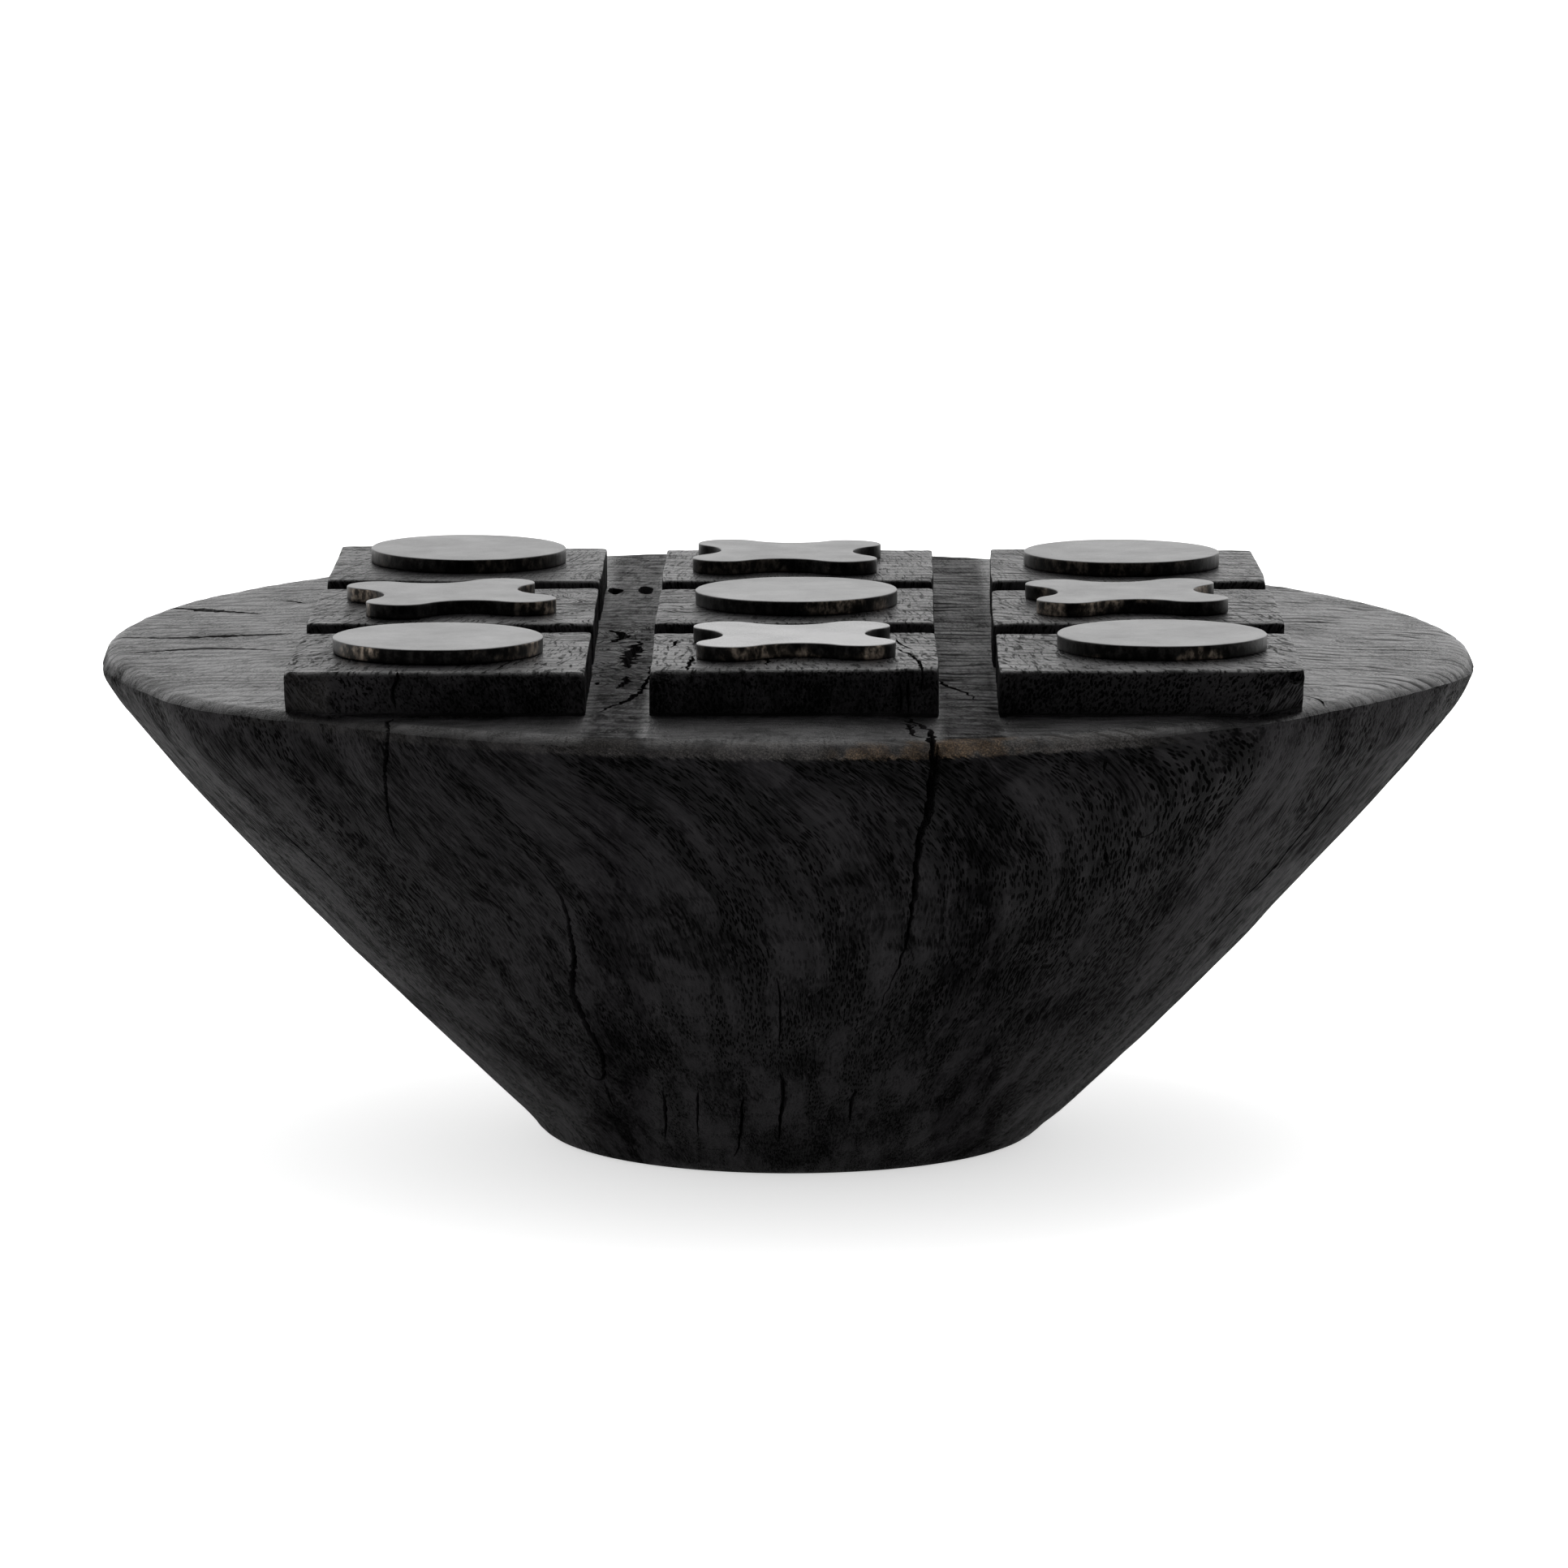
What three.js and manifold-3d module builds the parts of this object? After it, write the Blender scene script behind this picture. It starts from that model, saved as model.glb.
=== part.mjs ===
// A noughts and crosses board: one solid block of charred wood, turned to a squat inverted cone,
// with nine square pads left standing on its flat top, and nine loose steel pieces on the pads.
// Millimetres, +Z up. The origin is the centre of the base, on the surface that the board stands on.
// The player sits on the -Y side. Rows run along X, and columns along Y.
import * as THREE from "three";
import { mergeVertices, toCreasedNormals } from "three/addons/utils/BufferGeometryUtils.js";
import Module from "manifold-3d";

const wasm = await Module();
wasm.setup();

// ---- The block ----
const BASE_RADIUS = 68; // flat ring and face that the block stands on
const BASE_ROUNDING = 5; // worn edge between the base and the side
const SHOULDER = new THREE.Vector2(183.6, 122); // radius and height where the side turns into the rim
const SIDE_BULGE = 3.3; // how far the side swells past a straight cone, at mid height
const RIM_RADIUS = 190.5; // widest point, half of a 15 inch top
const RIM_HEIGHT = 133.6; // height of the widest point
const PLATE_HEIGHT = 138; // the flat top between the pads
const PLATE_RADIUS = 188; // where the flat top starts to round over
const AROUND = 96; // sides of the block's round sections

// ---- The pads, cut by hand, so no two rows or columns are quite alike ----
const COLUMN_WIDTHS = [78.1, 75.3, 78.2]; // along X, left to right
const COLUMN_GAPS = [17.7, 18];
const LEFT_EDGE = -132; // outer side of the left column
const ROW_DEPTHS = [78.5, 75.6, 73.5]; // along Y, front to back
const ROW_GAPS = [16.4, 14.4];
const FRONT_EDGE = -144.8; // outer side of the front row
const PAD_HEIGHT = 11.5; // how far a pad stands above the plate
const PAD_ROOT = 6; // how deep a pad's solid reaches into the block before they are joined
const PAD_CORNER = 1.6; // radius of a pad's upright edges
const PAD_EDGE = 0.9; // worn bevel around a pad's top
const TRIM_SLOPE = 0.8; // the block's old cone, which still trims the corner pads above the plate

// ---- The loose pieces ----
const PIECE_THICKNESS = 4;
const PIECE_EDGE = 0.5; // bevel on a piece's edges
const NOUGHT_DIAMETER = 56.5;
const CROSS_WIDTH = 53; // across two neighbouring lobes
const LOBE_RADIUS = 0.175 * CROSS_WIDTH;
const NOTCH_DEPTH = 0.14 * CROSS_WIDTH; // the hollow between two lobes
const RESTING_GAP = 0.3; // between a piece and its pad

const PAD_TOP = PLATE_HEIGHT + PAD_HEIGHT;

// Where each piece lies: its pad's column and row, how far it sits off the pad's centre, and its turn.
const PIECES = [
  { name: "nought_front_left", kind: "nought", column: 0, row: 0, shift: [-0.7, 1.9], turn: 0 },
  { name: "cross_front", kind: "cross", column: 1, row: 0, shift: [0, 6.2], turn: 2.1 },
  { name: "nought_front_right", kind: "nought", column: 2, row: 0, shift: [3.9, 9.1], turn: 0 },
  { name: "cross_left", kind: "cross", column: 0, row: 1, shift: [-1.3, 1.1], turn: 12 },
  { name: "nought_centre", kind: "nought", column: 1, row: 1, shift: [0.3, 5.6], turn: 0 },
  { name: "cross_right", kind: "cross", column: 2, row: 1, shift: [-2.7, 4], turn: 4 },
  { name: "nought_back_left", kind: "nought", column: 0, row: 2, shift: [-0.4, 7], turn: 0 },
  { name: "cross_back", kind: "cross", column: 1, row: 2, shift: [-2.7, 2.6], turn: -2 },
  { name: "nought_back_right", kind: "nought", column: 2, row: 2, shift: [-1, 1.4], turn: 0 },
];

const charredWood = new THREE.MeshStandardMaterial({ color: 0x1c1b1b, roughness: 0.72, metalness: 0 });
const blackenedSteel = new THREE.MeshStandardMaterial({ color: 0x39352f, roughness: 0.42, metalness: 0.85 });

// ---- Closed geometry to a solid, and back ----
function solidOf(geometry) {
  const bare = geometry.clone();
  bare.deleteAttribute("normal");
  bare.deleteAttribute("uv");
  const merged = mergeVertices(bare, 1e-3);
  const vertProperties = new Float32Array(merged.attributes.position.array);
  const triVerts = new Uint32Array(merged.index.array);
  return new wasm.Manifold(new wasm.Mesh({ numProp: 3, vertProperties, triVerts }));
}

function geometryOf(solid) {
  const { vertProperties, triVerts } = solid.getMesh();
  const geometry = new THREE.BufferGeometry();
  geometry.setAttribute("position", new THREE.BufferAttribute(vertProperties, 3));
  geometry.setIndex(new THREE.BufferAttribute(triVerts, 1));
  return toCreasedNormals(geometry, THREE.MathUtils.degToRad(35));
}

// A profile of (radius, height) points turned about +Z.
function turned(profile, sides) {
  const geometry = new THREE.LatheGeometry(profile, sides);
  geometry.rotateX(Math.PI / 2);
  return geometry;
}

// ---- The block's side: a straight cone from base to shoulder, swollen a little in the middle ----
function sidePoints(steps) {
  const foot = new THREE.Vector2(BASE_RADIUS + BASE_ROUNDING, BASE_ROUNDING);
  const points = [];
  for (let i = 0; i < steps; i++) {
    const t = i / steps;
    const point = foot.clone().lerp(SHOULDER, t);
    point.x += 4 * SIDE_BULGE * t * (1 - t);
    points.push(point);
  }
  return points;
}

function blockGeometry() {
  const baseCorner = new THREE.QuadraticBezierCurve(
    new THREE.Vector2(BASE_RADIUS - BASE_ROUNDING / 2, 0),
    new THREE.Vector2(BASE_RADIUS, 0),
    new THREE.Vector2(BASE_RADIUS + BASE_ROUNDING, BASE_ROUNDING),
  );
  const rimUnder = new THREE.QuadraticBezierCurve(
    SHOULDER,
    new THREE.Vector2(RIM_RADIUS, (SHOULDER.y + RIM_HEIGHT) / 2 + 2),
    new THREE.Vector2(RIM_RADIUS, RIM_HEIGHT),
  );
  const rimOver = new THREE.QuadraticBezierCurve(
    new THREE.Vector2(RIM_RADIUS, RIM_HEIGHT),
    new THREE.Vector2(RIM_RADIUS, PLATE_HEIGHT),
    new THREE.Vector2(PLATE_RADIUS, PLATE_HEIGHT),
  );
  const profile = [
    new THREE.Vector2(0, 0),
    ...baseCorner.getPoints(3).slice(0, -1),
    ...sidePoints(9),
    ...rimUnder.getPoints(4).slice(0, -1),
    ...rimOver.getPoints(4),
    new THREE.Vector2(0, PLATE_HEIGHT),
  ];
  return turned(profile, AROUND);
}

// The block's old cone carried on above the plate, which the outer pads may not pass.
function trimGeometry() {
  const below = PLATE_HEIGHT - PAD_ROOT - 1;
  const above = PAD_TOP + 1;
  const radiusAt = (height) => PLATE_RADIUS + TRIM_SLOPE * (height - PLATE_HEIGHT);
  const profile = [
    new THREE.Vector2(0, below),
    new THREE.Vector2(radiusAt(below), below),
    new THREE.Vector2(radiusAt(above), above),
    new THREE.Vector2(0, above),
  ];
  return turned(profile, AROUND);
}

// ---- The grid of pads ----
// Low and high edge of each band along one direction, from band sizes and the gaps between them.
function bands(start, sizes, gaps) {
  const edges = [];
  let low = start;
  sizes.forEach((size, i) => {
    edges.push({ low, high: low + size, middle: low + size / 2 });
    low += size + (gaps[i] ?? 0);
  });
  return edges;
}

const COLUMNS = bands(LEFT_EDGE, COLUMN_WIDTHS, COLUMN_GAPS);
const ROWS = bands(FRONT_EDGE, ROW_DEPTHS, ROW_GAPS);

// A rectangle with rounded corners, centred on the origin.
function roundedRectangle(width, depth, radius) {
  const x = width / 2 - radius;
  const y = depth / 2 - radius;
  const corners = [[x, y], [-x, y], [-x, -y], [x, -y]];
  const steps = 3;
  const points = [];
  corners.forEach(([cx, cy], quarter) => {
    for (let i = 0; i <= steps; i++) {
      const angle = (quarter + i / steps) * (Math.PI / 2);
      points.push(new THREE.Vector2(cx + radius * Math.cos(angle), cy + radius * Math.sin(angle)));
    }
  });
  return new THREE.Shape(points);
}

function bevelledPlate(shape, thickness, bevel) {
  const geometry = new THREE.ExtrudeGeometry(shape, {
    depth: thickness - 2 * bevel,
    bevelThickness: bevel,
    bevelSize: bevel,
    bevelOffset: -bevel,
    bevelSegments: 1,
  });
  geometry.translate(0, 0, bevel);
  return geometry;
}

function padGeometry(column, row) {
  const outline = roundedRectangle(column.high - column.low, row.high - row.low, PAD_CORNER);
  const geometry = bevelledPlate(outline, PAD_ROOT + PAD_HEIGHT, PAD_EDGE);
  geometry.translate(column.middle, row.middle, PLATE_HEIGHT - PAD_ROOT);
  return geometry;
}

function makeBoard() {
  let pads = null;
  for (const row of ROWS) {
    for (const column of COLUMNS) {
      const pad = solidOf(padGeometry(column, row));
      pads = pads ? pads.add(pad) : pad;
    }
  }
  const solid = solidOf(blockGeometry()).add(pads.intersect(solidOf(trimGeometry())));
  const board = new THREE.Mesh(geometryOf(solid), charredWood);
  board.name = "board";
  return board;
}

// ---- The loose pieces ----
function noughtGeometry() {
  const radius = NOUGHT_DIAMETER / 2;
  const profile = [
    new THREE.Vector2(0, 0),
    new THREE.Vector2(radius - PIECE_EDGE, 0),
    new THREE.Vector2(radius, PIECE_EDGE),
    new THREE.Vector2(radius, PIECE_THICKNESS - PIECE_EDGE),
    new THREE.Vector2(radius - PIECE_EDGE, PIECE_THICKNESS),
    new THREE.Vector2(0, PIECE_THICKNESS),
  ];
  return turned(profile, 64);
}

// Four round lobes at the corners of a square, joined by hollow arcs that touch them smoothly.
function crossOutline() {
  const lobe = CROSS_WIDTH / 2 - LOBE_RADIUS; // lobe centre along each axis
  const centres = (lobe * lobe + NOTCH_DEPTH * NOTCH_DEPTH) / (2 * NOTCH_DEPTH); // lobe to hollow
  const hollowRadius = centres - LOBE_RADIUS;
  const hollow = lobe + centres - NOTCH_DEPTH; // hollow's centre, out along the side's middle
  const touch = Math.atan2(hollow - lobe, lobe); // angle where a lobe hands over to the hollow
  const lobeSteps = 10;
  const hollowSteps = 7;
  const points = [];
  const arc = (cx, cy, radius, from, to, steps) => {
    for (let i = 0; i < steps; i++) {
      const angle = from + ((to - from) * i) / steps;
      points.push(new THREE.Vector2(cx + radius * Math.cos(angle), cy + radius * Math.sin(angle)));
    }
  };
  for (let quarter = 0; quarter < 4; quarter++) {
    const turn = (quarter * Math.PI) / 2;
    const diagonal = turn - Math.PI / 4;
    const lobeX = lobe * Math.SQRT2 * Math.cos(diagonal);
    const lobeY = lobe * Math.SQRT2 * Math.sin(diagonal);
    arc(lobeX, lobeY, LOBE_RADIUS, turn - Math.PI + touch, turn + Math.PI / 2 - touch, lobeSteps);
    const hollowX = hollow * Math.cos(turn);
    const hollowY = hollow * Math.sin(turn);
    arc(hollowX, hollowY, hollowRadius, turn - Math.PI / 2 - touch, turn - 1.5 * Math.PI + touch, hollowSteps);
  }
  return new THREE.Shape(points);
}

function crossGeometry() {
  return bevelledPlate(crossOutline(), PIECE_THICKNESS, PIECE_EDGE);
}

function makePiece({ name, kind, column, row, shift, turn }) {
  const shape = kind === "nought" ? noughtGeometry() : crossGeometry();
  const piece = new THREE.Mesh(shape, blackenedSteel);
  piece.name = name;
  piece.position.set(COLUMNS[column].middle + shift[0], ROWS[row].middle + shift[1], PAD_TOP + RESTING_GAP);
  piece.rotation.z = THREE.MathUtils.degToRad(turn);
  return piece;
}

const game = new THREE.Group();
game.add(makeBoard());
for (const placing of PIECES) {
  game.add(makePiece(placing));
}

export default game;
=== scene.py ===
"""A noughts and crosses board of charred wood, with loose pieces of blackened steel.

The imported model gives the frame. The block and the nine pieces are remade here with the
wear, cracks and tool marks of the real thing. Geometry is worked out in millimetres and
turned to metres when a mesh is made. +Z is up, and the player sits on the -Y side.
"""

from math import atan2, cos, pi, radians, sin, sqrt

import bpy
import numpy as np
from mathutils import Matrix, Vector


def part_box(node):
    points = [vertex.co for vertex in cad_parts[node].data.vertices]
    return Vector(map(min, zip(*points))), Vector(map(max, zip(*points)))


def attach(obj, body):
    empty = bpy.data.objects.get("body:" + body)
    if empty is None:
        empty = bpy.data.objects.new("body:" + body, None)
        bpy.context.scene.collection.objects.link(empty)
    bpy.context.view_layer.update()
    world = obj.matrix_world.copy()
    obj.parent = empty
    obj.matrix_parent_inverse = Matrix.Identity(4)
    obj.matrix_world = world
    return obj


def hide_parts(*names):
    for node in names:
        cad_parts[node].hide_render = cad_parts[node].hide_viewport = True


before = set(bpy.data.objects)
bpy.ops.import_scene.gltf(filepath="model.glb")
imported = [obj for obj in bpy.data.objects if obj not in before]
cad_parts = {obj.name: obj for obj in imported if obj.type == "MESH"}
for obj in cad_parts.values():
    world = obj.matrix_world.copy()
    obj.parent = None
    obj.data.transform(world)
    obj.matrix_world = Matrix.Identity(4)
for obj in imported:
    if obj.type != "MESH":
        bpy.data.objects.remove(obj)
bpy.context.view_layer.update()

MM = 0.001

# ---- The studio ----
FLOOR_GLOW = 0.56  # as on a product table, the floor is lit from below too, so shadows on it stay faint
FLOOR_REACH = 30000.0
BRIGHT_SIDE = (-0.15, 0.85, 0.35)
LAMP_PLACE = (0.4, 0.5, 2.2)
LAMP_SIZE = (1.6, 1.2)
LAMP_WATTS = 12.0
CAMERA_PLACE = (0.0111, -2.3308, 0.4541)
CAMERA_PITCH = 8.686  # degrees below level
CAMERA_TURN = 0.0055
CAMERA_LENS = 193.1

# ---- The block, in millimetres, as in the CAD model ----
RIM_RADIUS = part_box("board")[1].x / MM
PAD_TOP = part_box("board")[1].z / MM
PLATE_HEIGHT = 138.0
PLATE_RADIUS = 188.0
RIM_HEIGHT = 133.6  # height of the widest point
BASE_RADIUS = 68.0
BASE_ROUNDING = 5.0
SHOULDER_RADIUS = 183.6
SHOULDER_HEIGHT = 122.0
SIDE_BULGE = 3.3
COLUMNS = [(-132.0, -53.9), (-36.2, 39.1), (57.1, 135.3)]
ROWS = [(-144.8, -66.3), (-49.9, 25.7), (40.1, 113.6)]
PAD_ROOT = 6.0
TRIM_SLOPE = 0.8
PAD_CORNER = 2.0
RING_SPACING = 2.0  # between the side's rings of points

# How far each column's left and right edges wander off straight lines, at the front, middle and back.
EDGE_DRIFT = [
    ((-0.3, -0.3, 0.5), (0.6, 0.0, -0.2)),
    ((0.0, -0.7, -0.5), (0.6, 0.6, 2.0)),
    ((-1.6, -1.0, 0.8), (0.7, 0.4, -1.0)),
]

# How much a pad's top stands above its level, at its front left, front right, back left and back right.
PAD_RISES = {
    (0, 0): (0.1, 0.1, 0.0, 0.4),
    (1, 0): (0.5, 1.1, 0.1, 0.3),
    (2, 0): (0.5, 0.9, 0.0, 0.0),
    (0, 1): (0.5, 0.3, 0.0, 0.4),
    (1, 1): (0.6, 0.8, 0.2, 0.6),
    (2, 1): (0.5, 0.7, 0.1, 0.4),
    (0, 2): (0.8, 0.5, 1.5, 1.0),
    (1, 2): (0.8, 0.8, 0.6, 0.5),
    (2, 2): (0.8, 0.9, 0.8, 0.5),
}

# How round each row's front top edges are worn.
FRONT_WEAR = [1.7, 1.1, 1.3]

# ---- The loose pieces ----
NOUGHTS = [
    "nought_front_left",
    "nought_front_right",
    "nought_centre",
    "nought_back_left",
    "nought_back_right",
]
CROSS_TURNS = {"cross_front": 2.1, "cross_left": 12.0, "cross_right": 4.0, "cross_back": -2.0}
CROSS_WIDTH = 53.0
LOBE_RADIUS = 0.175 * CROSS_WIDTH
NOTCH_DEPTH = 0.14 * CROSS_WIDTH
PIECE_WEAR = 0.35

# ---- The wood's figure ----
SWIRL_START = 66.0  # height at which the side's fibres begin to swirl
BURL_PLACE = (-46.0, -22.0)
BURL_REACH = (26.0, 62.0)
HEART_PLACE = (-40.0, -520.0)
RING_WIDTH = 6.4


# ---- Noise and meshes ----


def smooth_noise(points, size, seed):
    """Noise from -1 to 1 over an (n, 3) array of points, with features about size across."""
    scaled = points / size + seed * 17.31
    cell = np.floor(scaled).astype(np.int64)
    part = scaled - cell
    part = part * part * part * (part * (part * 6 - 15) + 10)
    total = np.zeros(len(points))
    for corner in np.ndindex(2, 2, 2):
        mixed = (cell + corner) @ np.array([73856093, 19349663, 83492791])
        mixed = (mixed ^ (mixed >> 13)) * 1274126177
        value = (mixed & 0x7FFFFFFF) / 0x3FFFFFFF - 1
        weight = np.prod(np.where(corner, part, 1 - part), axis=1)
        total += value * weight
    return total


def layered_noise(points, size, seed, layers=3):
    """Several layers of smooth_noise, each half the size and half the strength of the last."""
    total = np.zeros(len(points))
    for layer in range(layers):
        total += smooth_noise(points, size / 2**layer, seed + layer) / 2**layer
    return total


def ease(low, high, value):
    """0 below low, 1 above high, and a smooth step between them."""
    t = np.clip((value - low) / (high - low), 0, 1)
    return t * t * (3 - 2 * t)


def make_object(name, points, faces):
    """A mesh object from points in millimetres."""
    mesh = bpy.data.meshes.new(name)
    mesh.from_pydata((np.asarray(points) * MM).tolist(), [], faces)
    mesh.update()
    made = bpy.data.objects.new(name, mesh)
    bpy.context.scene.collection.objects.link(made)
    return made


def bridge(start_a, count_a, start_b, count_b):
    """Faces between two rings of points, where ring b has as many points as ring a, or half, or twice."""
    faces = []
    if count_a == count_b:
        for i in range(count_a):
            j = (i + 1) % count_a
            faces.append((start_a + i, start_a + j, start_b + j, start_b + i))
    elif count_a == 2 * count_b:
        for i in range(count_b):
            j = (i + 1) % count_b
            a, mid, c = start_a + 2 * i, start_a + 2 * i + 1, start_a + (2 * i + 2) % count_a
            faces.append((a, mid, start_b + i))
            faces.append((mid, start_b + j, start_b + i))
            faces.append((mid, c, start_b + j))
    else:
        for i in range(count_a):
            j = (i + 1) % count_a
            b, mid, c = start_b + 2 * i, start_b + 2 * i + 1, start_b + (2 * i + 2) % count_b
            faces.append((start_a + i, mid, b))
            faces.append((start_a + i, start_a + j, mid))
            faces.append((start_a + j, c, mid))
    return faces


def rings_mesh(rings):
    """Points and faces of a closed surface from rings of points, each closed to a point at both ends.

    The rings run from the bottom's middle, out and up, to the top's middle, counter-clockwise from above.
    """
    starts = np.cumsum([0] + [len(ring) for ring in rings])
    faces = []
    for i in range(len(rings) - 1):
        faces += bridge(int(starts[i]), len(rings[i]), int(starts[i + 1]), len(rings[i + 1]))
    points = np.vstack(rings)
    bottom, top = len(points), len(points) + 1
    first, last = rings[0], rings[-1]
    for i in range(len(first)):
        faces.append((bottom, (i + 1) % len(first), i))
    for i in range(len(last)):
        faces.append((int(starts[-2]) + i, int(starts[-2]) + (i + 1) % len(last), top))
    points = np.vstack([points, first.mean(axis=0), last.mean(axis=0)])
    return points, faces


def combine(target, tool, operation):
    """Joins, cuts or trims target by tool, and removes the tool."""
    modifier = target.modifiers.new("combine", "BOOLEAN")
    modifier.object = tool
    modifier.operation = operation
    modifier.solver = "MANIFOLD"
    bpy.context.view_layer.update()
    depsgraph = bpy.context.evaluated_depsgraph_get()
    result = bpy.data.meshes.new_from_object(target.evaluated_get(depsgraph))
    target.modifiers.clear()
    old = target.data
    target.data = result
    bpy.data.meshes.remove(old)
    tool_mesh = tool.data
    bpy.data.objects.remove(tool)
    bpy.data.meshes.remove(tool_mesh)


def smooth_shade(target, sharp_angle):
    target.data.polygons.foreach_set("use_smooth", [True] * len(target.data.polygons))
    target.data.set_sharp_from_angle(angle=radians(sharp_angle))


# ---- The block's shape ----


def side_radius(height):
    """Radius of the block's side at a height, from the base's corner to the shoulder."""
    t = (height - BASE_ROUNDING) / (SHOULDER_HEIGHT - BASE_ROUNDING)
    foot = BASE_RADIUS + BASE_ROUNDING
    return foot + (SHOULDER_RADIUS - foot) * t + 4 * SIDE_BULGE * t * (1 - t)


def block_profile():
    """(radius, height) of each ring of the block, from the middle of the base to that of the plate."""
    profile = [(radius, 0.0) for radius in (12.0, 24.0, 36.0, 48.0, 57.0)]
    for t in np.linspace(0, 1, 6)[:-1]:
        radius = (1 - t) ** 2 * (BASE_RADIUS - 2.5) + 2 * t * (1 - t) * (BASE_RADIUS + 1)
        profile.append((radius + t * t * (BASE_RADIUS + BASE_ROUNDING), t * t * BASE_ROUNDING))
    for height in np.arange(BASE_ROUNDING, SHOULDER_HEIGHT - 0.7, RING_SPACING):
        profile.append((side_radius(height), height))
    under = RIM_HEIGHT - 0.6
    for t in np.linspace(0, 1, 9):
        radius = SHOULDER_RADIUS + (RIM_RADIUS - 0.15 - SHOULDER_RADIUS) * (t * 1.42 - 0.42 * t * t)
        profile.append((radius, SHOULDER_HEIGHT + (under - SHOULDER_HEIGHT) * t))
    band = [(0.0, 0.0), (0.35, 0.9), (1.0, 2.1), (1.7, 3.2), (2.2, 3.8), (2.9, 4.25), (3.9, 4.4)]
    profile += [(RIM_RADIUS - inward, RIM_HEIGHT + up) for inward, up in band]
    profile += [(radius, PLATE_HEIGHT) for radius in np.arange(PLATE_RADIUS - 3.5, 8.0, -2.3)]
    return profile


def columns_at(radius):
    """How many points a ring has, so that they stay about 2 mm apart."""
    if radius > 100:
        return 576
    if radius > 50:
        return 288
    if radius > 24:
        return 144
    return 72


def rim_band_height(azimuth):
    """Height of the worn band over the rim: broad right of the front and at the sides, crisp elsewhere."""
    front = np.exp(-(((azimuth - radians(8)) / radians(13)) ** 2))
    right = ease(radians(62), radians(88), np.abs(azimuth - radians(4)))
    return 2.1 + 2.5 * front + 3.4 * right


def outline_bulge(azimuth):
    """How far the rim bulges past a circle, from left of the front to the flatter right."""
    left = np.exp(-(((azimuth + radians(54)) / radians(9.5)) ** 2))
    cut = np.exp(-(((azimuth + radians(40)) / radians(4)) ** 2))
    right = np.exp(-(((azimuth - radians(56)) / radians(13)) ** 2))
    tip = np.exp(-(((azimuth - radians(94)) / radians(22)) ** 2))
    return 5.8 * left - 2.5 * cut - 4.0 * right - 1.8 * tip


def warp(points):
    """How far the block's top has risen towards the back left."""
    lean = 0.8 * points[:, 1] - 0.5 * points[:, 0]
    return 0.0125 * np.logaddexp(0, lean / 25) * 25


def shaped_block():
    """The block without its pads, with hand-carved waves, a worn rim and scraper marks."""
    rings = []
    for radius, height in block_profile():
        count = columns_at(radius)
        azimuth = np.arange(count) * 2 * pi / count
        azimuth = np.where(azimuth > pi, azimuth - 2 * pi, azimuth)
        x = radius * np.sin(azimuth)
        y = -radius * np.cos(azimuth)
        z = np.full(count, float(height))
        if height > SHOULDER_HEIGHT:
            widest = PLATE_HEIGHT - rim_band_height(azimuth)
            below = (height - SHOULDER_HEIGHT) / (RIM_HEIGHT - SHOULDER_HEIGHT)
            above = (height - RIM_HEIGHT) / (PLATE_HEIGHT - RIM_HEIGHT)
            if height <= RIM_HEIGHT:
                z = SHOULDER_HEIGHT + (widest - SHOULDER_HEIGHT) * below
            else:
                z = widest + (PLATE_HEIGHT - widest) * above
        ring = np.stack([x, y, z], axis=1)
        rings.append(ring)
    points, faces = rings_mesh(rings)
    wear_block(points)
    return make_object("board_wood", points, faces)


def side_swell(outward_x, height):
    """How far the side stands out past the plain profile: fuller under the rim and at the right foot."""
    return 0.25 + ease(78, 112, height) + outward_x * (0.3 + 0.8 * ease(75, 40, height))


def wear_block(points):
    """Moves the block's points: waves and fibre ridges on the side, scraper marks on the plate."""
    radius = np.hypot(points[:, 0], points[:, 1])
    height = points[:, 2]
    outward = points[:, :2] / np.maximum(radius, 1.0)[:, None]
    on_side = ease(2.0, 9.0, height) * (1 - ease(PLATE_HEIGHT - 1.2, PLATE_HEIGHT - 0.1, height))
    on_plate = ease(PLATE_HEIGHT - 0.6, PLATE_HEIGHT, height) * ease(0, 6, PLATE_RADIUS - radius)
    near_rim = ease(SHOULDER_HEIGHT + 3, RIM_HEIGHT, height) * (1 - on_plate)
    # Fibres fan out from the base to the rim, so a point is followed down its fibre to the base.
    fibre = np.stack([outward[:, 0] * 100, outward[:, 1] * 100, height * 0.06], axis=1)
    push = on_side * 0.55 * smooth_noise(points, 70.0, 3)
    push += on_side * side_swell(outward[:, 0], height)
    azimuth = np.arctan2(points[:, 0], -points[:, 1])
    push += ease(70, RIM_HEIGHT, height) * ease(90, 180, radius) * outline_bulge(azimuth)
    push += on_side * 0.28 * layered_noise(points, 19.0, 5, 2)
    push += on_side * 0.16 * layered_noise(fibre, 2.6, 7, 2)
    push += near_rim * 0.30 * layered_noise(points, 7.0, 11, 2)
    points[:, :2] += outward * push[:, None]
    streak = np.stack([points[:, 0] * 0.25, points[:, 1], np.zeros(len(points))], axis=1)
    rise = 0.45 * smooth_noise(points, 46.0, 13) + 0.09 * layered_noise(points, 11.0, 17, 2)
    rise += 0.06 * smooth_noise(streak, 2.6, 19)
    points[:, 2] += on_plate * rise - near_rim * 0.12 * layered_noise(points, 4.0, 23, 2)
    points[:, 2] += ease(90, RIM_HEIGHT, height) * warp(points)


# ---- The pads ----


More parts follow.
